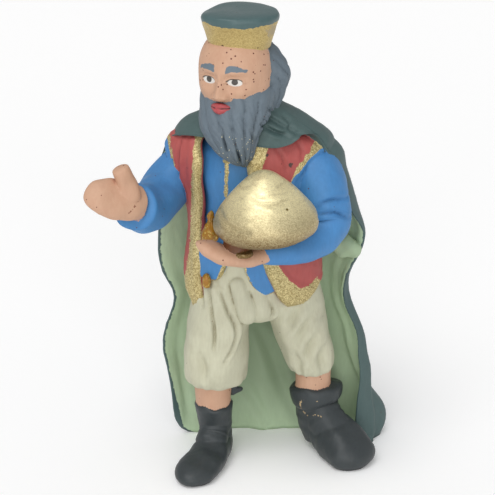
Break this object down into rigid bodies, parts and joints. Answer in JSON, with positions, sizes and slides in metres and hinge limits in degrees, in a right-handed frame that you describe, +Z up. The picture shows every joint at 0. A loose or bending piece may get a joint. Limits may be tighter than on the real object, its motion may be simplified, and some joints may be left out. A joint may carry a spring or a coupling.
{
  "type": "terracotta nativity figure",
  "caption": "Painted terracotta nativity king, bearded, in a flat-topped hat and a long open cape, carrying a domed gold vessel and holding out the free hand; stands on its boots and hem.",
  "frame": {"origin": "on the ground, under the middle of the figure's box", "axes": "+Z up, -Y towards the figure's front, +X towards the carried vessel's side"},
  "size_m": [0.0758, 0.0472, 0.12],
  "materials": {
    "painted_terracotta": "brush-painted matt and satin colours over fired clay"
  },
  "bodies": {
    "root": {"figure": "painted_terracotta"}
  },
  "joints": []
}
